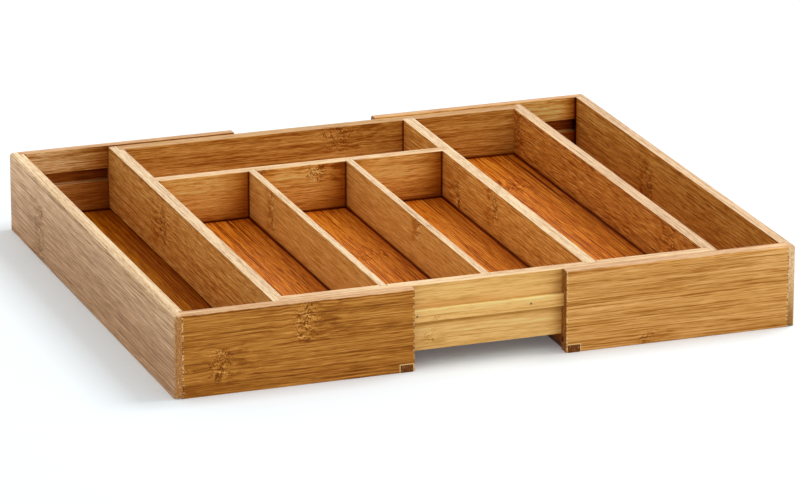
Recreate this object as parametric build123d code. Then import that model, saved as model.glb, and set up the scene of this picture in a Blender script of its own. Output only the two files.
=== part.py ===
from build123d import *
import os

# Expandable cutlery tray made of bamboo boards. All lengths are in millimetres.
# X runs to the right, Y to the back and Z up. The origin lies on the table,
# under the middle of the whole tray, with both wings pulled out a part of the way.
# An inner tray hangs by its two rails in the grooves of two U-shaped wings.

# Inner tray: compartments and boards
small_count = 3
small_width = 76.0
wide_width = 87.0
rear_depth = 82.0
side_wall = 10.0
long_wall = 11.0
short_divider = 6.0
long_divider = 10.0
cross_divider = 10.0
tray_floor = 5.0
floor_recess = 7.5
top_step = 1.0
tray_ease = 0.5
divider_ease = 0.5

# Joints between the boards of the inner tray
tray_tongue = 6.0
housing_depth = 4.0
tray_floor_bite = 4.0

# Rails on the front and the back of the inner tray, and the brads that hold them
rail_height = 10.0
rail_depth = 5.0
rail_lift = 23.5
rail_ease = 0.8
brad_count = 4
brad_first = 20.0
brad_pitch = 91.0
brad_length = 10.0
brad_sides = 12
brad_radius = 0.5
brad_point = 1.4
brad_tip_radius = 0.1
brad_head_radius = 0.8
brad_head = 0.5
brad_sink = 0.4

# Sliding wings
wing_height = 65.0
wing_depth = 440.0
wing_wall = 9.5
wing_end = 10.0
wing_floor = 5.0
wing_tongue = 6.0
wing_floor_bite = 4.0
wing_round = 3.0
wing_ease = 0.6
inner_end_round = 1.0
floor_setback = 1.0

# Crossbar under the free edge of each wing floor, let into the two walls
crossbar_width = 10.0
crossbar_height = 6.0
crossbar_setback = 1.5
crossbar_ease = 0.6

# Batten on each wing floor, which stops the wing at the tray's side wall
stop_width = 12.0
stop_length = 240.0
stop_ease = 1.0

# Clearances
slide_gap = 0.5
groove_gap = 0.3
lift_gap = 1.5
end_gap = 0.5
middle_gap = 2.0
stop_gap = 0.3
shoulder_gap = 0.2
glue_gap = 0.1
brad_gap = 0.05
overrun = 5.0

# How far the wings stand pulled out here, and the most that each can go
left_pull = 70.0
right_pull = 49.0
full_pull = 101.0

# Heights above the table
wing_floor_top = crossbar_height + wing_floor
tray_bottom = wing_floor_top + lift_gap
tray_top = wing_height - top_step
tray_floor_bottom = tray_bottom + floor_recess
tray_floor_top = tray_floor_bottom + tray_floor
rail_bottom = tray_bottom + rail_lift
rail_top = rail_bottom + rail_height

# Plan of the inner tray
row_width = small_count * small_width + (small_count - 1) * short_divider
tray_width = 2 * side_wall + row_width + long_divider + wide_width
tray_depth = wing_depth - 2 * (wing_wall + slide_gap)
tray_front = -tray_depth / 2
tray_back = tray_depth / 2
inner_front = tray_front + long_wall
inner_back = tray_back - long_wall
cross_back = inner_back - rear_depth
cross_front = cross_back - cross_divider

# Places of the inner tray and the wings along X
closed_width = tray_width + 2 * (end_gap + wing_end)
wing_length = (closed_width - middle_gap) / 2
tray_centre = (left_pull - right_pull) / 2
tray_left = tray_centre - tray_width / 2
tray_right = tray_centre + tray_width / 2
inner_left = tray_left + side_wall
inner_right = tray_right - side_wall
long_left = inner_left + row_width
left_outer = tray_centre - closed_width / 2 - left_pull
right_outer = tray_centre + closed_width / 2 + right_pull

LOW = (Align.MIN, Align.MIN)


def board_section(thickness, height, outer_round, ease):
    """Section of a board on edge, with its outer face and its underside at 0."""
    section = Rectangle(thickness, height, align=LOW)
    outer_top = section.vertices().group_by(Axis.Y)[-1].sort_by(Axis.X)[0]
    section = fillet(outer_top, outer_round)
    inner_top = section.vertices().group_by(Axis.X)[-1].sort_by(Axis.Y)[-1]
    bottom = section.vertices().group_by(Axis.Y)[0]
    return fillet([inner_top, *bottom], ease)


def groove(section, thickness, low, high, depth):
    """Cuts a groove into the inner face of a board section."""
    cutter = Rectangle(depth + overrun, high - low, align=LOW)
    return section - Pos(thickness - depth, low) * cutter


def along_x(section, start, front, bottom, length):
    """Runs a section along X: its outer face looks to the front."""
    plane = Plane(origin=(start, front, bottom), x_dir=(0, 1, 0), z_dir=(1, 0, 0))
    return extrude(plane * section, amount=length)


def along_y(section, left, back, bottom, length):
    """Runs a section along Y, from the back to the front: its outer face looks to the left."""
    plane = Plane(origin=(left, back, bottom), x_dir=(1, 0, 0), z_dir=(0, -1, 0))
    return extrude(plane * section, amount=length)


def block(low, high):
    """Box between two corners."""
    size = [high[axis] - low[axis] for axis in range(3)]
    return Pos(*low) * Box(*size, align=(Align.MIN, Align.MIN, Align.MIN))


def eased_block(low, high, ease):
    """Box between two corners, with its long edges eased along Y."""
    box = block(low, high)
    return fillet(box.edges().filter_by(Axis.Y), ease)


def both_ends(cutter):
    """A cutter at the front, and its mirror image at the back."""
    return cutter + mirror(cutter, about=Plane.XZ)


def corner_rabbets(thickness, tongue, end, wall, bottom, top):
    """Cutters for the rabbets at both ends of a side board, which leave its outer tongue."""
    low = (tongue, -end - overrun, bottom - overrun)
    high = (thickness + overrun, -end + wall + shoulder_gap, top + overrun)
    return both_ends(block(low, high))


def tray_section(thickness):
    """Section of a wall of the inner tray, with the groove that holds the floor."""
    section = board_section(thickness, tray_top - tray_bottom, tray_ease, tray_ease)
    return groove(section, thickness, floor_recess, floor_recess + tray_floor, tray_floor_bite)


def tray_side_wall():
    """Left side wall of the inner tray, with its outer face at X = 0."""
    wall = along_y(tray_section(side_wall), 0, tray_back, tray_bottom, tray_depth)
    outer = wall.edges().filter_by(Axis.Z).group_by(Axis.X)[0]
    wall = fillet(outer, tray_ease)
    return wall - corner_rabbets(side_wall, tray_tongue, tray_depth / 2, long_wall, tray_bottom, tray_top)


def tray_front_wall():
    """Front wall of the inner tray, seated between the tongues of the side walls."""
    length = tray_width - 2 * tray_tongue
    return along_x(tray_section(long_wall), tray_left + tray_tongue, tray_front, tray_bottom, length)


def divider_section(thickness):
    """Section of a divider, from the tray floor to the top."""
    return board_section(thickness, tray_top - tray_floor_top, divider_ease, divider_ease)


def housing(left, right, front, back):
    """Cutter for the end of a divider, from the tray floor up through the top edge."""
    return block((left, front, tray_floor_top), (right, back, tray_top + overrun))


def front_housing(left, thickness, face):
    """Housing, in a board in front, for the front end of a divider."""
    return housing(left - glue_gap, left + thickness + glue_gap, face - housing_depth, face + overrun)


def back_housing(left, thickness, face):
    """Housing, in a board behind, for the back end of a divider."""
    return housing(left - glue_gap, left + thickness + glue_gap, face - overrun, face + housing_depth)


def rod(radius, length):
    """A thin rod that stands on the origin: brads are so small that a few flats draw them round."""
    return extrude(RegularPolygon(radius, brad_sides), amount=length)


def brad():
    """One headed brad, standing on its head at the origin, with its point at the top."""
    shoulder = brad_length - brad_point
    point = loft([
        Pos(0, 0, shoulder) * RegularPolygon(brad_radius, brad_sides),
        Pos(0, 0, brad_length) * RegularPolygon(brad_tip_radius, brad_sides),
    ])
    return rod(brad_head_radius, brad_head) + rod(brad_radius, shoulder) + point


def brad_hole():
    """Room for one brad and its head, up to the rail's face."""
    head_room = brad_sink + overrun
    head = rod(brad_head_radius + brad_gap, head_room + brad_head)
    return rod(brad_radius + brad_gap, brad_length + brad_gap) + Pos(0, 0, -head_room) * head


def at_brads(shape):
    """Copies of a shape along the front rail, driven in towards the back."""
    face = tray_front - rail_depth + brad_sink
    middle = (rail_bottom + rail_top) / 2
    places = [tray_left + brad_first + index * brad_pitch for index in range(brad_count)]
    return [Pos(x, face, middle) * Rot(-90, 0, 0) * shape for x in places]


def short_lefts():
    """Left faces of the short dividers, by their names."""
    names = ("short_divider_left", "short_divider_right")
    step = small_width + short_divider
    return {name: inner_left + small_width + index * step for index, name in enumerate(names)}


def dividers():
    """The dividers of the inner tray: the ends of each are let into the boards that they meet."""
    seat = housing_depth - glue_gap
    length = inner_back - inner_front + 2 * seat
    long_board = along_y(divider_section(long_divider), long_left, inner_back + seat, tray_floor_top, length)
    low, high = cross_front - glue_gap, cross_back + glue_gap
    long_board -= housing(long_left - overrun, long_left + housing_depth, low, high)

    length = long_left - inner_left + 2 * seat
    section = divider_section(cross_divider)
    cross_board = along_x(section, inner_left - seat, cross_front, tray_floor_top, length)
    pieces = {}
    length = cross_front - inner_front + 2 * seat
    section = divider_section(short_divider)
    for name, left in short_lefts().items():
        pieces[name] = along_y(section, left, cross_front + seat, tray_floor_top, length)
        cross_board -= back_housing(left, short_divider, cross_front)
    pieces["long_divider"] = long_board
    pieces["cross_divider"] = cross_board
    return pieces


def tray_walls(brad_holes):
    """The four walls of the inner tray, cut for the dividers and the brads."""
    side = tray_side_wall()
    left_wall = Pos(tray_left, 0, 0) * side
    low, high = cross_front - glue_gap, cross_back + glue_gap
    left_wall -= housing(inner_left - housing_depth, inner_left + overrun, low, high)

    plain_wall = tray_front_wall() - brad_holes
    front_wall = plain_wall - front_housing(long_left, long_divider, inner_front)
    for left in short_lefts().values():
        front_wall -= front_housing(left, short_divider, inner_front)
    back_wall = mirror(plain_wall, about=Plane.XZ) - back_housing(long_left, long_divider, inner_back)
    return {
        "tray_left_wall": left_wall,
        "tray_right_wall": Pos(tray_right, 0, 0) * mirror(side, about=Plane.YZ),
        "tray_front_wall": front_wall,
        "tray_back_wall": back_wall,
    }


def rails(brad_holes):
    """The two rails, and the brads that hold them to the walls."""
    section = board_section(rail_depth, rail_height, rail_ease, rail_ease)
    front_rail = along_x(section, tray_left, tray_front - rail_depth, rail_bottom, tray_width) - brad_holes
    front_brads = Part() + at_brads(brad())
    return {
        "front_rail": front_rail,
        "back_rail": mirror(front_rail, about=Plane.XZ),
        "front_rail_brads": front_brads,
        "back_rail_brads": mirror(front_brads, about=Plane.XZ),
    }


def tray_panel():
    """Floor of the inner tray, in the grooves of its four walls."""
    bite = tray_floor_bite - glue_gap
    low = (inner_left - bite, inner_front - bite, tray_floor_bottom)
    high = (inner_right + bite, inner_back + bite, tray_floor_top)
    return block(low, high)


def tray_pieces():
    """All boards, rails and brads of the inner tray."""
    brad_holes = at_brads(brad_hole())
    return {
        **tray_walls(brad_holes),
        "tray_floor": tray_panel(),
        **dividers(),
        **rails(brad_holes),
    }


def wing_end_wall():
    """End wall of a wing, rounded outside, rabbeted at both ends for the long walls."""
    section = board_section(wing_end, wing_height, wing_round, wing_ease)
    section = groove(section, wing_end, crossbar_height, wing_floor_top, wing_floor_bite)
    wall = along_y(section, 0, wing_depth / 2, 0, wing_depth)
    outer = wall.edges().filter_by(Axis.Z).group_by(Axis.X)[0]
    wall = fillet(outer, wing_round)
    return wall - corner_rabbets(wing_end, wing_tongue, wing_depth / 2, wing_wall, 0, wing_height)


def wing_front_wall():
    """Front wall of a wing, with the rail's groove, the floor's groove and the crossbar's notch."""
    reach = rail_depth - slide_gap + groove_gap
    section = board_section(wing_wall, wing_height, wing_round, wing_ease)
    section = groove(section, wing_wall, crossbar_height, wing_floor_top, wing_floor_bite)
    section = groove(section, wing_wall, rail_bottom - groove_gap, rail_top + groove_gap, reach)
    wall = along_x(section, wing_tongue, -wing_depth / 2, 0, wing_length - wing_tongue)
    free_end = wall.faces().sort_by(Axis.X)[-1]
    outer_edge = free_end.edges().filter_by(Axis.Z).group_by(Axis.Y)[0]
    wall = fillet(outer_edge, inner_end_round)
    bar_right = wing_length - crossbar_setback
    low = (bar_right - crossbar_width - glue_gap, -wing_depth / 2 - overrun, -overrun)
    high = (bar_right + glue_gap, -wing_depth / 2 + wing_wall + overrun, crossbar_height)
    return wall - block(low, high)


def wing_panel():
    """Floor of a wing, held in the grooves of its three walls and free at its inner edge."""
    bite = wing_floor_bite - glue_gap
    half = wing_depth / 2 - wing_wall + bite
    low = (wing_end - bite, -half, crossbar_height)
    return block(low, (wing_length - floor_setback, half, wing_floor_top))


def crossbar():
    """Bar under the free edge of the wing floor, flush with the outer faces of the walls."""
    right = wing_length - crossbar_setback
    low = (right - crossbar_width, -wing_depth / 2, 0)
    return eased_block(low, (right, wing_depth / 2, crossbar_height), crossbar_ease)


def stop_batten():
    """Batten that meets the tray's side wall when the wing is pulled out as far as it goes."""
    left = wing_end + end_gap + full_pull + side_wall + stop_gap
    low = (left, -stop_length / 2, wing_floor_top)
    return eased_block(low, (left + stop_width, stop_length / 2, tray_floor_bottom - stop_gap), stop_ease)


def wing_pieces():
    """The pieces of the left wing, with the outer face of its end wall at X = 0."""
    front_wall = wing_front_wall()
    return {
        "end_wall": wing_end_wall(),
        "front_wall": front_wall,
        "back_wall": mirror(front_wall, about=Plane.XZ),
        "floor": wing_panel(),
        "crossbar": crossbar(),
        "stop_batten": stop_batten(),
    }


def all_pieces():
    """Every piece by its name, each in its place."""
    pieces = tray_pieces()
    for name, piece in wing_pieces().items():
        pieces["left_wing_" + name] = Pos(left_outer, 0, 0) * piece
        pieces["right_wing_" + name] = Pos(right_outer, 0, 0) * mirror(piece, about=Plane.YZ)
    return pieces


os.makedirs("parts", exist_ok=True)
for piece_name, piece_shape in all_pieces().items():
    piece_shape.label = piece_name
    export_step(piece_shape, "parts/" + piece_name + ".step")
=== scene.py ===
"""Looks of a bamboo cutlery tray with two sliding wings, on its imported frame.

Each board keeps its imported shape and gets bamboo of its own: strips, fibres, knuckles, sawn edges and end grain,
laid out in millimetres along the board. The brads are new pieces. Lengths in the scene are in metres.
"""
import math

import bpy
import numpy as np

from mathutils import Matrix, Vector


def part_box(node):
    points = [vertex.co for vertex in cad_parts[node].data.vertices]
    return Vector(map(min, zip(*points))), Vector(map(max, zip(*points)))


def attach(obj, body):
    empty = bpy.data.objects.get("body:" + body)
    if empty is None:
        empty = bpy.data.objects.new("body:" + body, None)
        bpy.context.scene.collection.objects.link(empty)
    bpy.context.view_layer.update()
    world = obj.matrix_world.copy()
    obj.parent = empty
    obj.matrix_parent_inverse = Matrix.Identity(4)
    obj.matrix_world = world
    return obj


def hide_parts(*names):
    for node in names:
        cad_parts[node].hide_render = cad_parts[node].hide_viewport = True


bl_info = {
    "name": "Bamboo cutlery tray",
    "version": (1, 0, 0),
    "blender": (4, 5, 0),
    "location": "3D View > Sidebar > Cutlery tray",
    "description": "Finishes the boards of an extendable cutlery tray in bamboo and sets its stage",
    "category": "Object",
}

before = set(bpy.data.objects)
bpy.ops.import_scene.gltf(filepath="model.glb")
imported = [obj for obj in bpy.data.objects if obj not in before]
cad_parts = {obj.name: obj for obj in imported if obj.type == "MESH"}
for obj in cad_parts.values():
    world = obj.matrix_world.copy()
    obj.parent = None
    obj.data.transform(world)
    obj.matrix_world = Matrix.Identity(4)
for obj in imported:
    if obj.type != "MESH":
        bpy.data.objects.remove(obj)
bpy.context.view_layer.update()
MM = 0.001

# Turns that lay a board down: first along its fibres, then across its face, then through it
ALONG_X = (math.radians(-90), 0.0, 0.0)
ALONG_Y = (0.0, math.radians(-90), math.radians(-90))
FLAT_ALONG_Y = (0.0, 0.0, math.radians(-90))

# How far apart two boards lie in the bamboo's pattern, and a place that no board reaches, in millimetres
BOARD_APART, FAR_OFF = 173.0, 1000.0

# Patches of the pattern in millimetres: along the fibres, then across them
SWAY, BROAD, MIDDLE, SMALL, FINE = (170.0, 40.0), (420.0, 9.0), (130.0, 3.4), (50.0, 1.7), (12.0, 0.8)
LINES, DASHES, BREAKS, CROSSING = (110.0, 1.0), (10.0, 0.9), (30.0, 30.0), (6.0, 1.1)
FLECKS, RAGGED = (12.0, 1.2), (9.0, 2.0)

# Patches to the millimetre: along the fibres, across them and through the board
WANDER, TIGHT, PULL = (0.30, 0.30, 0.30), (0.45, 0.45, 0.45), (0.07, 0.16, 0.16)
STAINS, SKEW, CHIPS, PORES = (0.08, 0.25, 0.25), (0.10, 0.22, 0.22), (0.5, 0.75, 0.75), (0.9, 0.35, 0.9)

# How much each size of patch, and a whole strip, counts in the tone
BROAD_TONE, MIDDLE_TONE, SMALL_TONE, FINE_TONE, STRIP_TONE = 1.5, 1.1, 1.8, 1.5, 0.22
# How many times the light halves at a tone of minus one, and doubles at a tone of one
DARK_STOPS, LIGHT_STOPS = 1.2, 0.6
# How far the fibres sway, bend softly round a knuckle and bend tightly in its core, in millimetres
SWAY_BEND, SOFT_BEND, TIGHT_BEND = 3.5, 5.0, 2.5
# How far a knuckle's zigzag of fibres swings, and how far it is skewed, in millimetres
ZIGZAG, ZIGZAG_SKEW = 1.8, 8.0
# Heights on a board, in millimetres, below which its foot's colour begins and is full
FOOT_BEGINS, FOOT_FULL = 62.0, 30.0
# How far painted shade reaches from a board that meets this one in millimetres, and the shares of light it takes at the
# seam, where it also draws the dark seam line, and round it
SEAM_SHADE_REACH, SEAM_LINE_SHADE, ROUND_SHADE = 11.0, 0.62, 0.18
# How far chips reach round a piece let into a board, in millimetres
CHIP_REACH = 2.0

# Lightest colours that bamboo and a sawn edge take
LIGHTEST, LIGHTEST_EDGE = (0.97, 0.93, 0.85), (0.94, 0.78, 0.58)
# What the lightest and the darkest fibres make of a sawn edge's colour, and the pores of end grain's
EDGE_LIGHT, EDGE_DARK, PORE_DARK = (1.18, 1.26, 1.38), (0.62, 0.50, 0.42), (0.72, 0.60, 0.46)

# Painted shade on the centre panel and the rails beside the right wing's free end: low corner, high corner, reach,
# share lost
SHADE_BY_RIGHT_WING = ((60.5, -230.0, 0.0), (200.0, -190.0, 63.0), 13.0, 0.3)

# Brads in a rail, how deep a head's rim and the shank's start lie, the point's length, a closed end's radius
BRADS, RIM, NECK, POINT, CLOSED = 4, 0.0005, 0.0006, 0.0014, 1e-7
# Colour of the rust on a brad, and its spots to the metre
BRAD_RUST, RUST_SPOTS = (0.10, 0.055, 0.025), (2600.0, 2600.0, 2600.0)

# What the camera looks at, its sensor in millimetres, the large soft lamp's place and aim, half the ground's side
CAMERA_AIM, SENSOR_WIDTH = (-0.00397, -0.03007, 0.030), 36.0
KEY_PLACE, KEY_AIM = (1.3, 0.0, 2.37), (0.0, 0.0, 0.03)
GROUND_HALF = 9.0


def colour(name, description, default):
    """A colour in the panel."""
    return bpy.props.FloatVectorProperty(
        name=name, description=description, subtype="COLOR", size=3, min=0.0, max=1.0, default=default)


def number(name, description, default, low=0.0, high=1.0):
    """A plain number in the panel."""
    return bpy.props.FloatProperty(name=name, description=description, default=default, min=low, max=high)


def length(name, description, default, low=0.0, high=10.0):
    """A length in the panel, in metres."""
    return bpy.props.FloatProperty(
        name=name, description=description, default=default, min=low, max=high,
        subtype="DISTANCE", unit="LENGTH", precision=4)


def turn(name, description, default):
    """An angle in the panel, with its default in degrees."""
    return bpy.props.FloatProperty(
        name=name, description=description, default=math.radians(default), subtype="ANGLE", unit="ROTATION")


class TrayBambooColours(bpy.types.PropertyGroup):
    """Colours of the bamboo on each kind of board."""
    left_wing: colour("Left wing", "Brown bamboo of the left wing's front wall", (0.505, 0.191, 0.0263))
    left_back: colour("Left wing's back", "Bamboo of the left wing's back wall", (0.97, 0.680, 0.350))
    right_wing: colour("Right wing", "Golden bamboo of the right wing's front wall", (0.70, 0.323, 0.076))
    right_back: colour("Right wing's back", "Golden bamboo of the right wing's back wall", (0.97, 0.556, 0.148))
    left_end: colour("Left end wall", "Dull greyish bamboo of the left end wall", (0.68, 0.412, 0.214))
    left_foot: colour("Left end wall's foot", "Browner bamboo low on the left end wall", (0.51, 0.275, 0.131))
    right_end: colour("Right end wall", "Bamboo of the right end wall", (0.66, 0.298, 0.050))
    tray_left: colour("Tray left", "Bamboo of the inner tray's left wall", (0.725, 0.376, 0.090))
    tray_right: colour("Tray right", "Bamboo of the inner tray's right wall", (0.600, 0.242, 0.034))
    tray_front: colour("Tray front", "Pale bamboo of the inner tray's front wall and the rails", (0.94, 0.538, 0.170))
    tray_back: colour("Tray back", "Bamboo of the inner tray's back wall", (0.62, 0.299, 0.0555))
    cross: colour("Cross divider", "Bamboo of the crosswise divider", (0.955, 0.548, 0.147))
    divider: colour("Dividers", "Bamboo of the two short dividers", (0.750, 0.400, 0.097))
    long: colour("Long divider", "Bamboo of the long divider", (0.75, 0.378, 0.076))
    floor: colour("Tray floor", "Reddish bamboo of the inner tray's floor", (0.65, 0.192, 0.0125))
    wing_floor: colour("Wing floors", "Dark bamboo of the wings' floors", (0.538, 0.185, 0.0047))
    bars: colour("Bars", "Dark bamboo of the crossbars and the stop battens", (0.26, 0.080, 0.014))
    sawn_edge: colour("Sawn edges", "Pale top edges of the tray and the dividers", (0.83, 0.585, 0.336))
    golden_edge: colour(
        "Golden edges", "Yellower top edges of the front wall and the crosswise divider", (0.87, 0.580, 0.310))
    right_edge: colour("Right edges", "Top edges of the boards at the right", (0.725, 0.475, 0.260))
    wing_edge: colour("Wing edges", "Pinkish top edges of the wings' front walls", (0.70, 0.410, 0.198))
    far_edge: colour("Far edges", "Top edges of the wings' back walls", (0.67, 0.362, 0.155))
    back_edge: colour("Back edge", "Browner top edge of the inner tray's back wall", (0.605, 0.330, 0.128))
    rail_edge: colour("Rail edges", "Golden edges of the rails", (0.73, 0.465, 0.142))
    left_grain: colour("Left end grain", "End grain of the left end wall", (0.540, 0.250, 0.081))
    right_grain: colour("Right end grain", "Pale end grain of the right end wall", (0.97, 0.660, 0.370))
    dark_grain: colour("Dark end grain", "End grain at the free ends of the wings' long walls", (0.315, 0.110, 0.0135))
    knuckle: colour("Torn fibres", "Pale torn fibres at sawn ends and chips", (0.93, 0.620, 0.270))


class TrayBambooGrain(bpy.types.PropertyGroup):
    """Sizes of the bamboo's pattern."""
    strip: length("Strip width", "Width of one glued strip of bamboo", 0.0205)
    streaks: number("Streaks", "Strength of the streaks along the fibres", 1.0, 0.0, 3.0)
    fibres: number("Fibres", "Strength of the dark fibre lines", 0.62)
    relief: length("Relief", "Depth of the fibres that can be felt", 0.00012, 0.0, 0.002)
    roughness: number("Roughness", "Roughness of the satin oil", 0.42)


class TrayBradSizes(bpy.types.PropertyGroup):
    """Sizes of the brads, as the frame has them."""
    head_radius: length("Head radius", "Radius of a brad's head", 0.0008)
    dome: length("Dome", "Height of the head's dome", 0.00015)
    shank_radius: length("Shank radius", "Radius of a brad's shank", 0.0005)
    steel: colour("Steel", "Dulled steel of the brads", (0.30, 0.24, 0.18))


class TrayStageLooks(bpy.types.PropertyGroup):
    """Camera, light and ground."""
    azimuth: turn("Azimuth", "How far the camera stands round from the front", -19.8083)
    elevation: turn("Elevation", "How high the camera stands", 17.9753)
    roll: turn("Roll", "Turn of the camera about its line of sight", -0.0683)
    distance: length("Distance", "From the camera to the point it looks at", 4.20837, 0.1, 20.0)
    lens: number("Lens", "Focal length in millimetres on a sensor 36 mm wide", 242.754, 10.0, 500.0)
    key_power: number("Key light", "Power of the large soft lamp in watts", 32.0, 0.0, 500.0)
    key_size: length("Key light size", "Side of the large soft lamp", 1.3, 0.1, 10.0)
    fill: number("Fill", "Brightness of the white surroundings", 0.74, 0.0, 2.0)
    ground: colour("Ground", "Colour of the pale floor", (0.80, 0.86, 0.91))
    glow: number("Ground glow", "What the camera sees the floor glow with, so that it is white out of the shadow", 0.08)


SHEETS = {
    "tray_bamboo_colours": TrayBambooColours,
    "tray_bamboo_grain": TrayBambooGrain,
    "tray_brad_sizes": TrayBradSizes,
    "tray_stage_looks": TrayStageLooks,
}


class Wiring:
    """Adds nodes to one tree and joins them. A value is a number, a tuple, or a socket."""

    def __init__(self, tree):
        self.tree = tree

    def node(self, kind, label="", **settings):
        """A new node with its settings."""
        made = self.tree.nodes.new(kind)
        made.label = label
        for key, value in settings.items():
            setattr(made, key, value)
        return made

    def put(self, socket, value):
        """Joins an output to an input, or gives the input a plain value."""
        if isinstance(value, bpy.types.NodeSocket):
            self.tree.links.new(value, socket)
        else:
            socket.default_value = value

    def math(self, operation, first, second=0.0, third=0.0, clamp=False):
        """One step of arithmetic on numbers."""
        made = self.node("ShaderNodeMath", operation=operation, use_clamp=clamp)
        for socket, value in zip(made.inputs, (first, second, third)):
            self.put(socket, value)
        return made.outputs[0]

    def vector(self, operation, first, second=(0.0, 0.0, 0.0)):
        """One step of arithmetic on vectors, or a vector's length."""
        made = self.node("ShaderNodeVectorMath", operation=operation)
        self.put(made.inputs[0], first)
        self.put(made.inputs[1], second)
        return made.outputs["Value" if operation == "LENGTH" else "Vector"]

    def parts(self, vector):
        """The three parts of a vector."""
        made = self.node("ShaderNodeSeparateXYZ")
        self.put(made.inputs[0], vector)
        return made.outputs

    def joined(self, x, y, z):
        """A vector of three parts."""
        made = self.node("ShaderNodeCombineXYZ")
        for socket, value in zip(made.inputs, (x, y, z)):
            self.put(socket, value)
        return made.outputs[0]

    def noise(self, vector, detail=2.0, rough=0.5, scale=1.0):
        """Soft patches between nought and one."""
        made = self.node("ShaderNodeTexNoise", noise_dimensions="3D")
        self.put(made.inputs["Vector"], vector)
        made.inputs["Scale"].default_value = scale
        made.inputs["Detail"].default_value = detail
        made.inputs["Roughness"].default_value = rough
        return made.outputs[0]

    def dotted(self, place, closeness, detail=2.0, rough=0.5):
        """Noise with so many patches to the millimetre along the fibres, across them and through the board."""
        return self.noise(self.vector("MULTIPLY", place, closeness), detail, rough)

    def stretched(self, place, patch, detail=2.0, rough=0.5):
        """Noise whose patches are so many millimetres long along the fibres and across them."""
        along, across = patch
        return self.dotted(place, (1.0 / along, 1.0 / across, 1.0 / across), detail, rough)

    def centred(self, value):
        """A value between nought and one, moved to lie about nought."""
        return self.math("SUBTRACT", value, 0.5)

    def bell(self, value, narrow):
        """One where the value is nought, and less to both sides of it, the sooner the higher narrow is."""
        square = self.math("POWER", self.math("MULTIPLY", value, narrow), 2.0)
        return self.math("EXPONENT", self.math("MULTIPLY", square, -1.0))

    def slope(self, value, low, high, start=0.0, end=1.0):
        """A straight climb from start, where the value is low, to end, where it is high."""
        return self.ramp(value, low, high, start, end, "LINEAR")

    def ramp(self, value, low, high, start=0.0, end=1.0, way="SMOOTHSTEP"):
        """A smooth step from start, where the value is low, to end, where it is high."""
        made = self.node("ShaderNodeMapRange", interpolation_type=way, clamp=True)
        for key, item in (("Value", value), ("From Min", low), ("From Max", high), ("To Min", start), ("To Max", end)):
            self.put(made.inputs[key], item)
        return made.outputs[0]

    def blend(self, amount, first, second):
        """The first colour where the amount is nought, and the second where it is one."""
        made = self.node("ShaderNodeMix", data_type="RGBA")
        colours_in = [socket for socket in made.inputs if socket.type == "RGBA"]
        self.put(made.inputs[0], amount)
        self.put(colours_in[0], first)
        self.put(colours_in[1], second)
        return next(socket for socket in made.outputs if socket.type == "RGBA")

    def dimmed(self, level, amount, most):
        """The level less a share of it, which is the most where the amount is one; a share below nought brightens."""
        return self.math("MULTIPLY", level, self.math("MULTIPLY_ADD", amount, -most, 1.0))

    def toned_and_shaded(self, colour, level, green, blue):
        """The colour at a level of tone, stain and painted shade: red follows the level, green and blue follow their
        powers of it.
        """
        strength = self.joined(level, self.math("POWER", level, green), self.math("POWER", level, blue))
        return self.vector("MINIMUM", self.vector("MULTIPLY", colour, strength), LIGHTEST)


def new_group(name, inputs, outputs):
    """An empty node group with sockets given as (name, type, default)."""
    tree = bpy.data.node_groups.new(name, "ShaderNodeTree")
    for title, kind, default in inputs:
        socket = tree.interface.new_socket(title, in_out="INPUT", socket_type=kind)
        if default is not None:
            socket.default_value = default
    for title, kind in outputs:
        tree.interface.new_socket(title, in_out="OUTPUT", socket_type=kind)
    return tree, tree.nodes.new("NodeGroupInput").outputs, tree.nodes.new("NodeGroupOutput").inputs


FLOAT, VECTOR, COLOUR = "NodeSocketFloat", "NodeSocketVector", "NodeSocketColor"


def knuckle_group():
    """One knuckle of the bamboo: bends the fibres round it and tells where its crossed fibres and its stain are."""
    tree, given, out = new_group(
        "bamboo_knuckle",
        [("Place", VECTOR, None), ("Centre", VECTOR, None), ("Length", FLOAT, 6.0), ("Height", FLOAT, 10.0),
         ("Strength", FLOAT, 1.0)],
        [("Place", VECTOR), ("Crossed", FLOAT), ("Stain", FLOAT)])
    w = Wiring(tree)
    place = given["Place"]
    along, across, _ = w.parts(w.vector("SUBTRACT", place, given["Centre"]))
    along = w.math("DIVIDE", along, given["Length"])
    across = w.math("DIVIDE", across, given["Height"])

    # Its core is a block with rounded ends and a wandering border
    off = w.math("ABSOLUTE", across)
    square = w.math("ADD", w.math("POWER", w.math("ABSOLUTE", along), 2.0), w.math("POWER", off, 6.0))
    wander = w.centred(w.dotted(place, WANDER))
    core = w.ramp(w.math("MULTIPLY_ADD", wander, 1.6, w.math("SQRT", square)), 0.45, 1.1, 1.0, 0.0)
    inside = w.ramp(off, 0.85, 1.25, 1.0, 0.0)

    # The fibres bend softly to both sides of it and tightly in its core
    near = w.math("MULTIPLY", w.bell(along, 0.36), inside)
    soft = w.math("MULTIPLY", w.centred(w.dotted(place, PULL, 1.0)), near)
    tight = w.math("MULTIPLY", w.centred(w.dotted(place, TIGHT, 2.0, 0.7)), core)
    bend = w.math("MULTIPLY_ADD", tight, TIGHT_BEND, w.math("MULTIPLY", soft, SOFT_BEND))
    bend = w.math("MULTIPLY", bend, given["Strength"])

    # Stain lies in patches beside it
    patches = w.ramp(w.dotted(place, STAINS, 3.0, 0.6), 0.44, 0.60)
    stain = w.math("MULTIPLY", w.bell(w.math("SUBTRACT", along, 1.7), 0.7), patches)
    stain = w.math("MULTIPLY", stain, inside)

    w.put(out["Place"], w.vector("ADD", place, w.joined(0.0, bend, 0.0)))
    w.put(out["Crossed"], w.math("MULTIPLY", core, given["Strength"]))
    w.put(out["Stain"], w.math("MULTIPLY", stain, given["Strength"]))
    return tree


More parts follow.
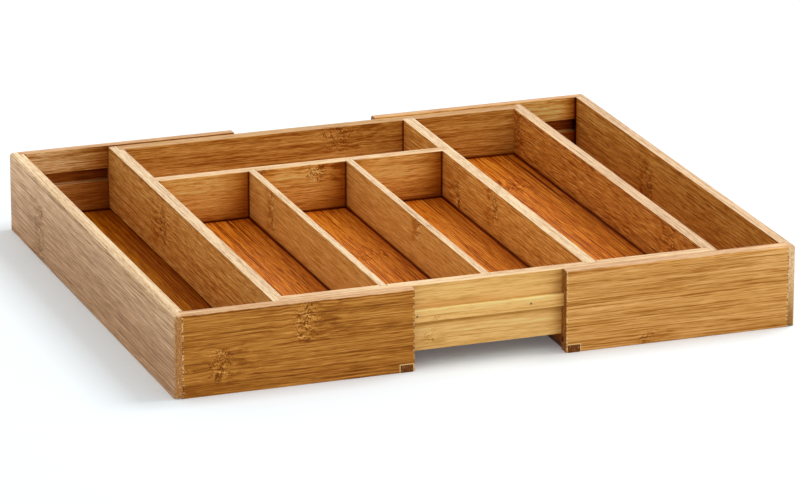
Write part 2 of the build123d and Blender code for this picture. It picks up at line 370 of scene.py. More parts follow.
def fibre_level(w, given, place, across, broad, middle, small, fine):
    """How light the fibres, the strips and their seams make a place, and where the dark lines are."""
    strip_at = w.math("DIVIDE", across, given["Strip"])
    made = w.node("ShaderNodeTexWhiteNoise", noise_dimensions="1D")
    w.put(made.inputs["W"], w.math("ADD", w.math("FLOOR", strip_at), 0.37))
    sharp = w.math("MULTIPLY", w.math("MULTIPLY", w.centred(fine), FINE_TONE), given["Fine"])
    thread = w.math("MULTIPLY", w.math("MULTIPLY", w.centred(small), SMALL_TONE), given["Threads"])
    tone = w.math("MULTIPLY", w.centred(broad), BROAD_TONE)
    tone = w.math("MULTIPLY_ADD", w.centred(middle), MIDDLE_TONE, tone)
    tone = w.math("MULTIPLY_ADD", tone, given["Streaks"], w.math("ADD", sharp, thread))
    tone = w.math("MULTIPLY_ADD", w.centred(made.outputs["Value"]), STRIP_TONE, tone)
    stops = w.math("MINIMUM", w.math("MULTIPLY", tone, DARK_STOPS), w.math("MULTIPLY", tone, LIGHT_STOPS))
    level = w.math("POWER", 2.0, stops)

    # Long dark lines and fainter short dashes
    lines = w.ramp(w.stretched(place, LINES, 1.0), 0.57, 0.66)
    dashes = w.ramp(w.stretched(place, DASHES, 1.0), 0.61, 0.70)
    lines = w.math("MAXIMUM", lines, w.math("MULTIPLY", dashes, 0.7))
    level = w.dimmed(level, w.math("MULTIPLY", lines, given["Fibres"]), most=0.55)

    # Glue seams between the strips, which show here and there
    seam= w.ramp(w.math("ABSOLUTE", w.centred(w.math("FRACT", strip_at))), 0.484, 0.498)
    broken = w.ramp(w.stretched(place, BREAKS), 0.42, 0.62)
    return w.dimmed(level, w.math("MULTIPLY", seam, broken), most=0.3), lines


def knuckle_level(w, given, along, level):
    """The level with a knuckle's zigzag of pale fibres, dark pits and stain in it, and the zigzag itself."""
    skew = w.dotted(given["Place"], SKEW, 1.0)
    zigzag = w.math("PINGPONG", w.math("MULTIPLY_ADD", skew, ZIGZAG_SKEW, along), ZIGZAG)
    moved = w.vector("ADD", given["Place"], w.joined(0.0, zigzag, 0.0))
    crossing = w.stretched(moved, CROSSING, 2.0, 0.6)
    speckle = w.math("MULTIPLY", w.ramp(crossing, 0.52, 0.62), given["Crossed"])
    pits = w.math("MULTIPLY", w.ramp(crossing, 0.49, 0.41), given["Crossed"])
    level = w.dimmed(level, given["Stain"], most=0.35)
    level = w.dimmed(level, pits, most=0.6)
    return w.dimmed(level, w.math("MULTIPLY", speckle, given["Pale"]), most=-1.0), crossing


def torn_face(w, given, along, level, chips):
    """The wide face's colour, with pale and dark chips where its fibres are torn at a sawn end."""
    across = w.parts(given["Place"])[1]
    board = w.blend(w.slope(across, FOOT_BEGINS, FOOT_FULL), given["Main"], given["Foot"])
    face = w.toned_and_shaded(board, level, given["Green"], given["Blue"])
    darker = w.toned_and_shaded(board, w.math("MULTIPLY", level, 0.45), given["Green"], given["Blue"])
    to_end = w.math("MINIMUM", w.math("SUBTRACT", along, given["Low end"]),
                    w.math("SUBTRACT", given["High end"], along))
    torn = w.ramp(w.math("MULTIPLY_ADD", w.centred(chips), -3.0, to_end), 1.5, 0.7)
    face = w.blend(w.math("MULTIPLY", torn, w.ramp(chips, 0.50, 0.58, 0.0, 0.7)), face, given["Knuckle colour"])
    return w.blend(w.math("MULTIPLY", torn, w.ramp(chips, 0.50, 0.42, 0.0, 0.8)), face, darker)


def sawn_edge(w, given, across, middle, small, lines):
    """The colour of a board's sawn top edge or underside."""
    tone = w.math("MULTIPLY", w.centred(middle), 1.2)
    tone = w.math("MULTIPLY_ADD", w.centred(small), 1.6, tone)
    flecks = w.centred(w.stretched(given["Place"], FLECKS, 2.0, 0.65))
    tone = w.math("MULTIPLY_ADD", flecks, 2.0, tone)
    tone = w.math("MULTIPLY_ADD", lines, -0.3, tone)
    bright = w.vector("MINIMUM", w.vector("MULTIPLY", given["Edge"], EDGE_LIGHT), LIGHTEST_EDGE)
    edge = w.blend(w.slope(tone, 0.0, 0.5), given["Edge"], bright)
    edge = w.blend(w.slope(tone, 0.0, -0.7), edge, w.vector("MULTIPLY", given["Edge"], EDGE_DARK))
    at_top = w.ramp(w.math("SUBTRACT", across, given["Top"]), -4.0, -3.0)
    return w.toned_and_shaded(edge, w.math("MAXIMUM", given["Clean"], at_top), 1.2, 1.5)


def edge_part(w, given, across, facing_across):
    """One on the sawn top edge and the underside, with a ragged border, and nought on the wide faces."""
    ragged = w.centred(w.stretched(given["Place"], RAGGED, 2.0, 0.6))
    turning = w.math("MULTIPLY_ADD", ragged, 0.6, facing_across)
    outer = w.math("MAXIMUM", w.math("SUBTRACT", given["Underside"], across), w.math("SUBTRACT", across, given["Top"]))
    return w.math("MULTIPLY", w.ramp(turning, 0.55, 0.75), w.ramp(outer, -4.5, -3.5))


def end_grain(w, given):
    """End grain with dark pores and pale dots."""
    dots = w.dotted(given["Place"], PORES, 3.0, 0.65)
    end = w.blend(w.ramp(dots, 0.36, 0.60), w.vector("MULTIPLY", given["End grain"], PORE_DARK), given["End grain"])
    end = w.blend(w.ramp(dots, 0.58, 0.70, 0.0, 0.6), end, given["Knuckle colour"])
    return w.toned_and_shaded(end, given["Clean"], 1.4, 2.1)


def bamboo_group():
    """Bamboo on one board: its place is in millimetres, first along the fibres, then across, then through."""
    tree, given, out = new_group(
        "bamboo",
        [("Place", VECTOR, None), ("Facing", VECTOR, None), ("Main", COLOUR, None), ("Foot", COLOUR, None),
         ("Edge", COLOUR, None), ("End grain", COLOUR, None), ("Knuckle colour", COLOUR, None),
         ("Green", FLOAT, 1.7), ("Blue", FLOAT, 3.0), ("Crossed", FLOAT, 0.0), ("Pale", FLOAT, 0.5),
         ("Stain", FLOAT, 0.0), ("Clean", FLOAT, 1.0), ("Worn", FLOAT, 0.0), ("Strip", FLOAT, 20.0),
         ("Streaks", FLOAT, 1.0), ("Threads", FLOAT, 1.0), ("Fine", FLOAT, 1.0), ("Fibres", FLOAT, 0.5),
         ("Stretch", FLOAT, 1.0), ("Widen", FLOAT, 1.0), ("Gloss", FLOAT, 0.42), ("Low end", FLOAT, -FAR_OFF),
         ("High end", FLOAT, FAR_OFF), ("Underside", FLOAT, 0.0), ("Top", FLOAT, 60.0)],
        [("Colour", COLOUR), ("Roughness", FLOAT), ("Height", FLOAT)])
    w = Wiring(tree)
    along, across, _ = w.parts(given["Place"])
    facing_along, facing_across, _ = w.parts(w.vector("ABSOLUTE", given["Facing"]))
    sway = w.math("MULTIPLY", w.centred(w.stretched(given["Place"], SWAY, 1.0)), SWAY_BEND)
    place = w.vector("ADD", given["Place"], w.joined(0.0, sway, 0.0))
    place = w.vector("DIVIDE", place, w.joined(given["Stretch"], given["Widen"], given["Widen"]))
    broad = w.stretched(place, BROAD)
    middle = w.stretched(place, MIDDLE, 2.0, 0.55)
    small = w.stretched(place, SMALL, 2.0, 0.6)
    fine = w.stretched(place, FINE, 2.0, 0.7)
    chips = w.dotted(place, CHIPS, 2.0, 0.7)

    level, lines = fibre_level(w, given, place, across, broad, middle, small, fine)
    level, crossing = knuckle_level(w, given, along, level)
    # The level falls in painted shade and at the dark seam lines
    level = w.math("MULTIPLY", level, given["Clean"])
    skin = torn_face(w, given, along, level, chips)
    skin = w.blend(edge_part(w, given, across, facing_across), skin, sawn_edge(w, given, across, middle, small, lines))
    skin = w.blend(w.ramp(facing_along, 0.6, 0.85), skin, end_grain(w, given))
    worn = w.math("MULTIPLY", w.ramp(given["Worn"], 0.25, 0.75), w.ramp(chips, 0.38, 0.48))
    w.put(out["Colour"], w.blend(worn, skin, given["Knuckle colour"]))

    # Rougher in a knuckle and along the dark lines
    rough = w.math("MULTIPLY_ADD", w.centred(middle), 0.35, given["Gloss"])
    rough = w.math("MULTIPLY_ADD", given["Crossed"], 0.12, rough)
    w.put(out["Roughness"], w.math("MULTIPLY_ADD", lines, 0.14, rough, clamp=True))

    # Fibres that can be felt: the dark lines lie low and a knuckle's crossed fibres stand up
    height = w.math("MULTIPLY_ADD", fine, 0.5, w.math("MULTIPLY", small, 0.6))
    height = w.math("MULTIPLY_ADD", lines, -0.6, height)
    w.put(out["Height"], w.math("MULTIPLY_ADD", w.math("MULTIPLY", given["Crossed"], crossing), 1.2, height))
    return tree


def beside_group():
    """How near a place is to a box: one at the box, and nought at the reach from it. All in millimetres."""
    tree, given, out = new_group(
        "beside_a_board",
        [("Place", VECTOR, None), ("Low", VECTOR, None), ("High", VECTOR, None), ("Reach", FLOAT, 6.0)],
        [("Near", FLOAT)])
    w = Wiring(tree)
    below = w.vector("SUBTRACT", given["Low"], given["Place"])
    above = w.vector("SUBTRACT", given["Place"], given["High"])
    away = w.vector("LENGTH", w.vector("MAXIMUM", w.vector("MAXIMUM", below, above), (0.0, 0.0, 0.0)))
    w.put(out["Near"], w.math("POWER", w.slope(away, 0.0, given["Reach"], 1.0, 0.0), 1.6))
    return tree


def blank_material(name):
    """A material with nothing in it, and the wiring of its tree."""
    material = bpy.data.materials.new(name)
    material.use_nodes = True
    material.node_tree.nodes.clear()
    return material, Wiring(material.node_tree)


def shared_group(name, maker):
    """The node group of that name, made when it is first asked for."""
    return bpy.data.node_groups.get(name) or maker()


def group_node(w, tree, label, **values):
    """Puts a group into the tree; a socket name is written with _ for a space."""
    made = w.node("ShaderNodeGroup", label, node_tree=tree)
    for key, value in values.items():
        w.put(made.inputs[key.replace("_", " ")], value)
    return made


def opaque(rgb):
    """The colour as colour sockets take it, with nothing showing through."""
    return (*rgb, 1.0)


def beside(w, place, label, low, high, reach):
    """How near a place is to the box between two corners, in millimetres."""
    tree = shared_group("beside_a_board", beside_group)
    return group_node(w, tree, label, Place=place, Low=tuple(low), High=tuple(high), Reach=reach).outputs[0]


def unshaded_part(w, place, neighbours, darkened):
    """One on the open board, and less in the painted shade and dark seam lines along the boards that meet this one, and
    in the darkened places: (low corner, high corner, reach, share lost), in millimetres. Most darkened places are
    painted shade, and a share below nought brightens."""
    seam_shade = 0.0
    for node in neighbours:
        low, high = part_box(node)
        # Painted shade beside each meeting board, darkest at the seam, where it is also the dark seam line
        near = beside(w, place, "oil beside " + node, low / MM, high / MM, SEAM_SHADE_REACH)
        seam = w.ramp(near, 0.66, 0.94, 0.0, SEAM_LINE_SHADE)
        seam_shade = w.math("MAXIMUM", w.math("MULTIPLY_ADD", near, ROUND_SHADE, seam), seam_shade)
    unshaded = w.math("SUBTRACT", 1.0, seam_shade)
    for low, high, reach, share in darkened:
        unshaded = w.dimmed(unshaded, beside(w, place, "darkened place", low, high, reach), share)
    return unshaded


def bamboo_finish(scene, node, main, turned, seed, knuckles=(), streaks=1.0, fibres=1.0, gloss=0.0, edge=None,
                  torn=False, foot=None, fine=1.0, threads=1.0, powers=(1.7, 3.0), pale=0.15, stretch=1.0, widen=1.0,
                  meets=(), darkened=(), chipped=(), grain_colour=None, ledges=False, shine=0.16, other_side=None):
    """Bamboo for one board. Knuckles are (along, across, length, height, strength) in millimetres. Fibres are torn at
    the sawn ends of a torn board and chipped round the chipped ones. The powers are those that green and blue follow as
    the level of tone, stain and painted shade falls. A board with ledges has sawn edges below its top too. The other
    side is (which way through the board it faces, its colour): that face has none of the painted shade, dark seam lines
    and darkened places."""
    colours, grain = scene.tray_bamboo_colours, scene.tray_bamboo_grain
    if turned != ALONG_X:
        # Boards that run from the front to the back have fainter streaks and more of the finest fibres
        streaks, threads, fine, fibres = 0.3 * streaks, 0.35 * threads, 1.65 * fine, 1.1 * fibres
        stretch, widen = 1.6 * stretch, 0.84 * widen
    material, w = blank_material("bamboo_" + node)
    where = w.node("ShaderNodeTexCoord")
    lay = w.node("ShaderNodeMapping", "lay the fibres along the board", vector_type="POINT")
    w.put(lay.inputs["Vector"], where.outputs["Object"])
    lay.inputs["Scale"].default_value = (1.0 / MM,) * 3
    lay.inputs["Rotation"].default_value = turned
    lay.inputs["Location"].default_value = (0.0, 0.0, seed * BOARD_APART)
    face = w.node("ShaderNodeMapping", "turn the faces with it", vector_type="VECTOR")
    w.put(face.inputs["Vector"], where.outputs["Normal"])
    face.inputs["Rotation"].default_value = turned
    place, crossed, stain = lay.outputs[0], 0.0, 0.0
    for along, across, reach, height, strength in knuckles:
        made = group_node(w, shared_group("bamboo_knuckle", knuckle_group), "knuckle", Place=place,
                          Centre=(along, across, 0.0), Length=reach, Height=height, Strength=strength)
        place = made.outputs["Place"]
        crossed = w.math("MAXIMUM", made.outputs["Crossed"], crossed)
        stain = w.math("MAXIMUM", made.outputs["Stain"], stain)
    low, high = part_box(node)
    side = 0 if turned == ALONG_X else 1
    ends = (low[side] / MM, high[side] / MM) if torn else (-FAR_OFF, FAR_OFF)
    millimetres = w.vector("MULTIPLY", where.outputs["Object"], (1.0 / MM,) * 3)
    # Painted shade and dark seam lines beside the meeting boards, and the darkened places
    unshaded = unshaded_part(w, millimetres, meets, darkened)
    upper, lower = opaque(main), opaque(foot or main)
    if other_side:
        way, tone = other_side
        turned_away = w.ramp(w.math("MULTIPLY", w.parts(face.outputs[0])[2], way), 0.3, 0.7)
        unshaded = w.math("MAXIMUM", unshaded, turned_away)
        upper, lower = w.blend(turned_away, upper, opaque(tone)), w.blend(turned_away, lower, opaque(tone))
    worn = 0.0
    for other in chipped:
        corners = [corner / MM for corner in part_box(other)]
        worn = w.math("MAXIMUM", beside(w, millimetres, "chips round " + other, *corners, CHIP_REACH), worn)
    grain_colour = grain_colour or [v * 0.8 for v in main]
    made = group_node(
        w, shared_group("bamboo", bamboo_group), "bamboo", Place=place, Facing=face.outputs[0], Main=upper,
        Foot=lower, Edge=opaque(edge or colours.sawn_edge), End_grain=opaque(grain_colour),
        Knuckle_colour=opaque(colours.knuckle), Green=powers[0], Blue=powers[1], Crossed=crossed, Stain=stain,
        Pale=pale, Clean=unshaded, Worn=worn, Strip=grain.strip / MM, Streaks=grain.streaks * streaks, Threads=threads,
        Fine=1.7 * fine, Fibres=grain.fibres * fibres, Stretch=stretch, Widen=widen, Gloss=grain.roughness + gloss,
        Low_end=ends[0], High_end=ends[1], Underside=FAR_OFF if ledges else low.z / MM, Top=high.z / MM)
    bump = w.node("ShaderNodeBump")
    bump.inputs["Strength"].default_value = 1.0
    bump.inputs["Distance"].default_value = grain.relief
    w.put(bump.inputs["Height"], made.outputs["Height"])
    shader = w.node("ShaderNodeBsdfPrincipled")
    w.put(shader.inputs["Base Color"], made.outputs["Colour"])
    w.put(shader.inputs["Roughness"], made.outputs["Roughness"])
    w.put(shader.inputs["Normal"], bump.outputs[0])
    shader.inputs["IOR"].default_value = 1.48
    shader.inputs["Specular IOR Level"].default_value = shine
    shader.inputs["Specular Tint"].default_value = (1.0, 0.82, 0.55, 1.0)
    w.put(w.node("ShaderNodeOutputMaterial").inputs["Surface"], shader.outputs[0])
    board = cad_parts[node]
    board.data.materials.clear()
    board.data.materials.append(material)


class TRAY_OT_finish_wing_boards(bpy.types.Operator):
    """Bamboo on the end walls and the long walls of both wings"""
    bl_idname = "tray.finish_wing_boards"
    bl_label = "Finish the wing boards"

    def execute(self, context):
        scene = context.scene
        c = scene.tray_bamboo_colours
        pink = c.wing_edge
        # Painted shade in the routed grooves, low on the wings' back walls below the groove, beside the inner tray's
        # left wall and beside the right end wall
        front_groove_shade = ((-300.0, -215.6, 36.3), (300.0, -214.8, 45.7), 0.6, 0.6)
        back_groove_shade = ((-300.0, 214.8, 36.3), (300.0, 215.6, 45.7), 0.6, 0.62)
        left_foot = ((-300.0, 209.0, 6.0), (0.0, 216.0, 34.8), 0.8, 0.38)
        right_foot = ((0.0, 209.0, 6.0), (300.0, 216.0, 34.8), 0.8, 0.55)
        far_end = ((-250.0, 200.0, 0.0), (-235.0, 225.0, 65.0), 130.0, -0.2)
        tray_wall_shadow = ((-168.0, 205.0, 0.0), (-60.0, 220.0, 65.0), 60.0, 0.62)
        end_wall_shade = ((236.0, 205.0, 0.0), (250.0, 220.0, 65.0), 14.0, 0.5)
        bamboo_finish(scene, "left_wing_front_wall", c.left_wing, ALONG_X, 1,
                      [(-145.5, 49.0, 11.0, 16.0, 1.0), (-212.5, 23.0, 10.0, 15.0, 1.0),
                       (-236.0, 21.5, 8.0, 1.6, 0.8)], edge=pink, torn=True,
                      darkened=[front_groove_shade, ((-250.0, -230.0, 0.0), (-235.0, -200.0, 65.0), 170.0, 0.12)],
                      powers=(1.45, 2.6), chipped=["left_wing_crossbar"], grain_colour=c.dark_grain, pale=0.5,
                      threads=1.35, fine=1.2, streaks=1.12, stretch=1.4)
        pale_corner = ((225.0, -222.0, 56.0), (245.0, -215.0, 66.0), 30.0, -0.18)
        bamboo_finish(scene, "right_wing_front_wall", c.right_wing, ALONG_X, 2,
                      [(125.8, 4.8, 7.0, 6.0, 0.7)], edge=pink, torn=True, stretch=2.0, streaks=0.85,
                      darkened=[front_groove_shade, pale_corner], powers=(1.5, 2.7), chipped=["right_wing_crossbar"],
                      grain_colour=c.dark_grain)
        backs = (("left", c.left_back, [left_foot, tray_wall_shadow], c.left_wing),
                 ("right", c.right_back, [right_foot, end_wall_shade], c.right_wing))
        for seed, (side, inside, places, outside) in enumerate(backs, 3):
            bamboo_finish(scene, side + "_wing_back_wall", inside, ALONG_X, seed, edge=c.far_edge, torn=True,
                          darkened=[back_groove_shade, *places], grain_colour=c.dark_grain, ledges=True,
                          meets=[side + "_wing_floor", side + "_wing_end_wall"], other_side=(-1.0, outside))
        bamboo_finish(scene, "left_wing_end_wall", c.left_end, ALONG_Y, 5, [(130.0, 24.0, 9.0, 25.0, 0.9)],
                      streaks=0.6, threads=0.9, fine=0.95, fibres=0.9, stretch=1.6, powers=(1.3, 1.7),
                      foot=c.left_foot, grain_colour=c.left_grain, gloss=0.1, darkened=[far_end],
                      other_side=(1.0, c.tray_left))
        grain_foot = ((238.0, -222.0, 0.0), (250.0, -212.0, 8.0), 42.0, 0.54)
        bamboo_finish(scene, "right_wing_end_wall", c.right_end, ALONG_Y, 6, [(49.9, 37.0, 9.0, 18.0, 1.15)],
                      grain_colour=c.right_grain, edge=c.right_edge, threads=1.3, fine=1.15, darkened=[grain_foot],
                      meets=["right_wing_floor", "right_wing_back_wall"], other_side=(1.0, c.right_wing))
        return {"FINISHED"}


class TRAY_OT_finish_tray_walls(bpy.types.Operator):
    """Bamboo on the four walls of the inner tray"""
    bl_idname = "tray.finish_tray_walls"
    bl_label = "Finish the tray walls"

    def execute(self, context):
        scene = context.scene
        c = scene.tray_bamboo_colours
        bamboo_finish(scene, "tray_left_wall", c.tray_left, ALONG_Y, 7, [(63.6, 40.0, 10.0, 17.0, 1.15)],
                      meets=["tray_floor"], fine=1.15)
        bamboo_finish(scene, "tray_right_wall", c.tray_right, ALONG_Y, 8,
                      [(-139.2, 50.0, 9.0, 12.0, 1.1), (187.8, 46.0, 9.0, 17.0, 1.2)], edge=c.right_edge,
                      meets=["tray_floor"], fine=1.65, threads=1.2)
        # Painted shadow under the front rail, and painted shade beside the right wing
        shadow_under_rail = ((-300.0, -212.0, 33.0), (300.0, -208.0, 36.5), 3.0, 0.35)
        bamboo_finish(scene, "tray_front_wall", c.tray_front, ALONG_X, 9, [(-45.7, 23.0, 5.0, 6.0, 0.5)],
                      fibres=0.35, threads=0.25, fine=0.6, streaks=0.62, widen=1.9, stretch=1.8, powers=(1.4, 2.3),
                      edge=c.golden_edge, darkened=[SHADE_BY_RIGHT_WING, shadow_under_rail])
        bamboo_finish(scene, "tray_back_wall", c.tray_back, ALONG_X, 10, [(23.8, 55.0, 15.0, 12.0, 1.0)],
                      streaks=0.8, edge=c.back_edge, meets=["tray_floor", "long_divider"])
        return {"FINISHED"}


class TRAY_OT_finish_dividers(bpy.types.Operator):
    """Bamboo on the four dividers"""
    bl_idname = "tray.finish_dividers"
    bl_label = "Finish the dividers"

    def execute(self, context):
        scene = context.scene
        c = scene.tray_bamboo_colours
        floor = ["tray_floor"]
        # Painted shade on the crosswise divider at the right side of each compartment, beside the divider that keeps
        # the light off
        corners = [((x - 4.0, 100.0, 0.0), (x, 108.0, 64.0), 28.0, 0.5) for x in (-82.0, 0.0, 82.0)]
        low_part = ((-170.0, 100.0, 0.0), (90.0, 108.0, 26.0), 26.0, 0.35)
        bamboo_finish(scene, "cross_divider", c.cross, ALONG_X, 11,
                      [(-26.0, 57.5, 8.0, 8.5, 1.3), (-70.7, 62.9, 4.0, 5.0, 0.8)], streaks=0.45, threads=0.6,
                      fibres=0.8, darkened=[*corners, low_part], edge=c.golden_edge,
                      meets=floor + ["tray_left_wall", "short_divider_left", "short_divider_right", "long_divider"])
        bamboo_finish(scene, "long_divider", c.long, ALONG_Y, 12,
                      [(71.4, 36.4, 7.0, 14.0, 1.15), (-11.9, 50.0, 7.0, 14.0, 1.15)], meets=floor, pale=0.35)
        short = (("short_divider_left", (48.4, 46.0, 5.0, 18.0, 1.15)),
                 ("short_divider_right", (-60.1, 55.0, 5.0, 10.0, 1.15)))
        for seed, (node, knuckle) in enumerate(short, 13):
            bamboo_finish(scene, node, c.divider, ALONG_Y, seed, [knuckle], streaks=0.8, threads=0.4, fibres=0.45,
                          fine=0.75, meets=floor, pale=0.35)
        return {"FINISHED"}


class TRAY_OT_finish_floors(bpy.types.Operator):
    """Dark reddish bamboo on the three floors"""
    bl_idname = "tray.finish_floors"
    bl_label = "Finish the floors"

    def execute(self, context):
        scene = context.scene
        c = scene.tray_bamboo_colours
        # Painted shade and dark seam lines along every board that stands on the tray floor
        round_it = ["tray_left_wall", "tray_right_wall", "tray_front_wall", "tray_back_wall", "cross_divider",
                    "long_divider", "short_divider_left", "short_divider_right"]
        bamboo_finish(scene, "tray_floor", c.floor, FLAT_ALONG_Y, 15,
                      [(110.2, -138.0, 8.0, 22.0, 1.25), (-21.0, 24.8, 8.0, 16.0, 0.8)], fibres=2.1, edge=c.floor,
                      stretch=1.5, threads=1.7, streaks=1.2, powers=(1.8, 3.6), shine=0.08, meets=round_it)
        # Painted shade on the wing floors under and beside the inner tray
        tray_shade = ((-170.0, -220.0, 0.0), (190.0, 220.0, 20.0), 28.0, 0.42)
        for seed, side in enumerate(("left", "right"), 16):
            walls = [f"{side}_wing_{name}_wall" for name in ("end", "front", "back")]
            bamboo_finish(scene, side + "_wing_floor", c.wing_floor, FLAT_ALONG_Y, seed, fibres=1.2, edge=c.floor,
                          stretch=1.5, threads=1.2, powers=(1.8, 3.6), shine=0.04, darkened=[tray_shade], meets=walls)
        return {"FINISHED"}


class TRAY_OT_finish_rails(bpy.types.Operator):
    """Pale bamboo on the two rails"""
    bl_idname = "tray.finish_rails"
    bl_label = "Finish the rails"

    def execute(self, context):
        scene = context.scene
        c = scene.tray_bamboo_colours
        lit_arris = ((-300.0, -216.0, 45.4), (300.0, -214.5, 46.5), 1.8, -0.25)
        for seed, node in enumerate(("front_rail", "back_rail"), 18):
            bamboo_finish(scene, node, c.tray_front, ALONG_X, seed, [(-42.0, 37.6, 4.0, 3.0, 0.4)], fibres=0.6,
                          threads=0.25, fine=0.3, streaks=0.8, powers=(1.4, 2.3), edge=c.rail_edge,
                          grain_colour=c.dark_grain, darkened=[SHADE_BY_RIGHT_WING, lit_arris])
        return {"FINISHED"}


class TRAY_OT_finish_bars(bpy.types.Operator):
    """Bamboo on the crossbars under the wings and on the stop battens"""
    bl_idname = "tray.finish_bars"
    bl_label = "Finish the bars and battens"

    def execute(self, context):
        scene = context.scene
        c = scene.tray_bamboo_colours
        bars = ("left_wing_crossbar", "right_wing_crossbar", "left_wing_stop_batten", "right_wing_stop_batten")
        for seed, node in enumerate(bars, 20):
            bamboo_finish(scene, node, c.bars, ALONG_Y, seed)
        return {"FINISHED"}


def steel_finish(rgb):
    """Dulled steel: small brown and grey patches, rougher where it is browner."""
    material, w = blank_material("dulled_steel")
    where = w.node("ShaderNodeTexCoord")
    patches = w.dotted(where.outputs["Object"], RUST_SPOTS, 3.0, 0.6)
    shader = w.node("ShaderNodeBsdfPrincipled")
    w.put(shader.inputs["Base Color"], w.blend(w.ramp(patches, 0.35, 0.65), opaque(rgb), opaque(BRAD_RUST)))
    w.put(shader.inputs["Roughness"], w.ramp(patches, 0.3, 0.7, 0.38, 0.62))
    shader.inputs["Metallic"].default_value = 0.85
    w.put(w.node("ShaderNodeOutputMaterial").inputs["Surface"], shader.outputs[0])
    return material


def turned_mesh(name, profile, places, outward, sides=24):
    """Brads turned about the y axis: a point at angle a of the ring is (x + r cos a, y + outward t, z + r sin a),
    where (r, t) runs along the profile from the head's middle to the tip."""
    radius, depth = np.array(profile, float).T
    angle = np.linspace(0.0, 2.0 * math.pi, sides, endpoint=False)
    ring = np.stack([np.outer(radius, np.cos(angle)), np.repeat((depth * outward)[:, None], sides, 1),
                     np.outer(radius, np.sin(angle))], -1)
    points = (np.asarray(places, float)[:, None, None, :] + ring[None]).reshape(-1, 3)
    rows, step = len(radius), np.arange(sides)
    following = (step + 1) % sides
    row = np.arange(rows - 1)[:, None] * sides
    quads = np.stack([row + step, row + following, row + sides + following, row + sides + step], -1).reshape(-1, 4)
    if outward > 0:
        quads = quads[:, ::-1]
    count = rows * sides
    quads = (quads[None] + (np.arange(len(places)) * count)[:, None, None]).reshape(-1, 4)
    mesh = bpy.data.meshes.new(name)
    mesh.from_pydata(points.tolist(), [], quads.tolist())
    mesh.validate()
    return mesh


class TRAY_OT_make_brads(bpy.types.Operator):
    """Domed brads in both rails"""
    bl_idname = "tray.make_brads"
    bl_label = "Make the brads"

    def execute(self, context):
        sizes = context.scene.tray_brad_sizes
        material = steel_finish(sizes.steel)
        for node, outward in (("front_rail_brads", 1.0), ("back_rail_brads", -1.0)):
            low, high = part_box(node)
            head = low.y if outward > 0 else high.y
            reach = high.y - low.y
            height = (low.z + high.z) / 2
            r, s = sizes.head_radius, sizes.shank_radius
            places = [(x, head, height) for x in np.linspace(low.x + r, high.x - r, BRADS)]
            dome = [(r * math.sin(t), sizes.dome * (1.0 - math.cos(t))) for t in np.linspace(0.0, math.pi / 2, 6)]
            profile = [(CLOSED, 0.0), *dome[1:], (r, RIM), (s, NECK), (s, reach - POINT), (CLOSED, reach)]
            mesh = turned_mesh(node + "_domed", profile, places, outward)
            piece = bpy.data.objects.new(node + "_domed", mesh)
            context.scene.collection.objects.link(piece)
            mesh.materials.append(material)
            mesh.shade_smooth()
            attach(piece, "tray")
            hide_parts(node)
        return {"FINISHED"}


def seen_rays(w):
    """One for what the camera sees, straight, in a reflection or through something clear, and nought for light."""
    path = w.node("ShaderNodeLightPath")
    seen = w.math("MAXIMUM", path.outputs["Is Camera Ray"], path.outputs["Is Glossy Ray"])
    return w.math("MAXIMUM", seen, path.outputs["Is Transmission Ray"])


def ground_finish(rgb, strength):
    """Pale floor: plain to the object, and white to the camera and in reflections where no shadow falls."""
    material, w = blank_material("pale_ground")
    where = w.node("ShaderNodeTexCoord")
    tone = w.noise(where.outputs["Object"], 2.0, 0.5, 3.0)
    plain = w.node("ShaderNodeBsdfDiffuse")
    mottled, seen = ([min(1.0, v * factor) for v in rgb] for factor in (1.02, 1.12))
    w.put(plain.inputs["Color"], w.blend(tone, opaque(rgb), opaque(mottled)))
    white = w.node("ShaderNodeBsdfDiffuse")
    w.put(white.inputs["Color"], opaque(seen))
    glow = w.node("ShaderNodeEmission")
    glow.inputs["Strength"].default_value = strength
    both = w.node("ShaderNodeAddShader")
    w.put(both.inputs[0], white.outputs[0])
    w.put(both.inputs[1], glow.outputs[0])
    mix = w.node("ShaderNodeMixShader")
    w.put(mix.inputs[0], seen_rays(w))
    w.put(mix.inputs[1], plain.outputs[0])
    w.put(mix.inputs[2], both.outputs[0])
    w.put(w.node("ShaderNodeOutputMaterial").inputs["Surface"], mix.outputs[0])
    return material


def set_surroundings(scene, fill):
    """White surroundings: a plain fill for the object, and white to the camera and in reflections."""
    world = bpy.data.worlds.new("white_surroundings")
    scene.world = world
    world.use_nodes = True
    world.node_tree.nodes.clear()
    w = Wiring(world.node_tree)
    background = w.node("ShaderNodeBackground")
    background.inputs["Color"].default_value = (1.0, 1.0, 1.0, 1.0)
    w.put(background.inputs["Strength"], w.slope(seen_rays(w), 0.0, 1.0, fill, 1.0))
    w.put(w.node("ShaderNodeOutputWorld").inputs["Surface"], background.outputs[0])


def soft_lamp(scene, name, place, aim, size, power):
    """A square lamp at a place, turned to its aim."""
    light = bpy.data.lights.new(name, "AREA")
    light.shape, light.size, light.energy = "SQUARE", size, power
    lamp = bpy.data.objects.new(name, light)
    lamp.location = place
    lamp.rotation_euler = (Vector(aim) - Vector(place)).to_track_quat("-Z", "Y").to_euler()
    scene.collection.objects.link(lamp)


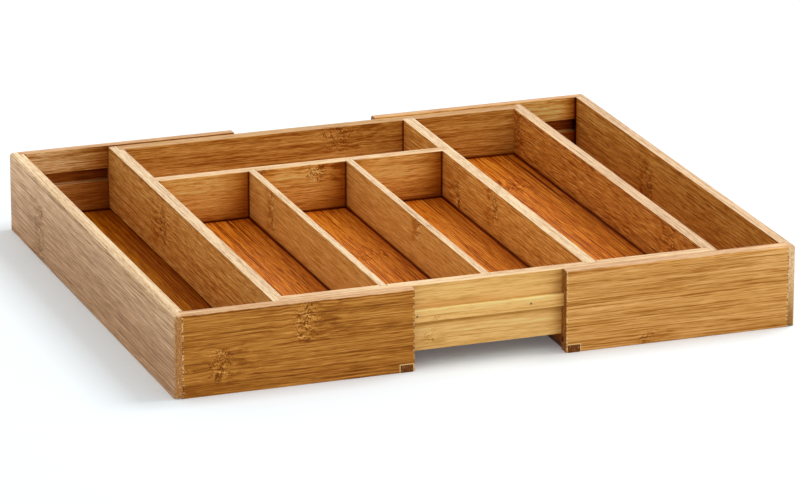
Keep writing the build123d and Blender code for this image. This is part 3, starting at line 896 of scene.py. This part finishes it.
def set_camera(scene, looks):
    """Camera at the photograph's place: back is the way from the tray to the camera."""
    a, e, turned = looks.azimuth, looks.elevation, looks.roll
    back = Vector((math.sin(a) * math.cos(e), -math.cos(a) * math.cos(e), math.sin(e)))
    right = Vector((0.0, 0.0, 1.0)).cross(back).normalized()
    up = back.cross(right)
    across = right * math.cos(turned) + up * math.sin(turned)
    upright = up * math.cos(turned) - right * math.sin(turned)
    data = bpy.data.cameras.new("camera")
    data.sensor_fit, data.sensor_width, data.lens = "HORIZONTAL", SENSOR_WIDTH, looks.lens
    data.clip_start, data.clip_end = 0.1, 100.0
    camera = bpy.data.objects.new("camera", data)
    camera.matrix_world = Matrix.Translation(Vector(CAMERA_AIM) + back * looks.distance) @ Matrix(
        (across, upright, back)).transposed().to_4x4()
    scene.collection.objects.link(camera)
    scene.camera = camera


class TRAY_OT_set_stage(bpy.types.Operator):
    """Pale floor, soft light and the camera"""
    bl_idname = "tray.set_stage"
    bl_label = "Set the stage"

    def execute(self, context):
        scene = context.scene
        looks = scene.tray_stage_looks
        mesh = bpy.data.meshes.new("ground")
        corners = [(x * GROUND_HALF, y * GROUND_HALF, 0.0) for x, y in ((-1, -1), (1, -1), (1, 1), (-1, 1))]
        mesh.from_pydata(corners, [], [(0, 1, 2, 3)])
        ground = bpy.data.objects.new("ground", mesh)
        mesh.materials.append(ground_finish(looks.ground, looks.glow))
        scene.collection.objects.link(ground)
        set_surroundings(scene, looks.fill)
        soft_lamp(scene, "key", KEY_PLACE, KEY_AIM, looks.key_size, looks.key_power)
        set_camera(scene, looks)
        scene.view_settings.view_transform = "Standard"
        return {"FINISHED"}


class TRAY_PT_cutlery_tray(bpy.types.Panel):
    """Lists the steps and the values of the cutlery tray"""
    bl_idname = "TRAY_PT_cutlery_tray"
    bl_label = "Cutlery tray"
    bl_space_type = "VIEW_3D"
    bl_region_type = "UI"
    bl_category = "Cutlery tray"

    def draw(self, context):
        for step in STEPS:
            self.layout.operator(step.bl_idname)
        for name, sheet in SHEETS.items():
            box = self.layout.box()
            values = getattr(context.scene, name)
            for key in sheet.__annotations__:
                box.prop(values, key)


STEPS = (
    TRAY_OT_finish_wing_boards, TRAY_OT_finish_tray_walls, TRAY_OT_finish_dividers, TRAY_OT_finish_floors,
    TRAY_OT_finish_rails, TRAY_OT_finish_bars, TRAY_OT_make_brads, TRAY_OT_set_stage,
)
CLASSES = (*SHEETS.values(), *STEPS, TRAY_PT_cutlery_tray)


def register():
    """Makes the steps, the panel and the values known to Blender."""
    for made in CLASSES:
        bpy.utils.register_class(made)
    for name, sheet in SHEETS.items():
        setattr(bpy.types.Scene, name, bpy.props.PointerProperty(type=sheet))


def unregister():
    """Takes them away again, in the opposite order."""
    for name in SHEETS:
        delattr(bpy.types.Scene, name)
    for made in reversed(CLASSES):
        bpy.utils.unregister_class(made)


def main():
    register()
    for step in STEPS:
        family, name = step.bl_idname.split(".")
        getattr(getattr(bpy.ops, family), name)()
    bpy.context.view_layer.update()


if __name__ == "__main__":
    main()
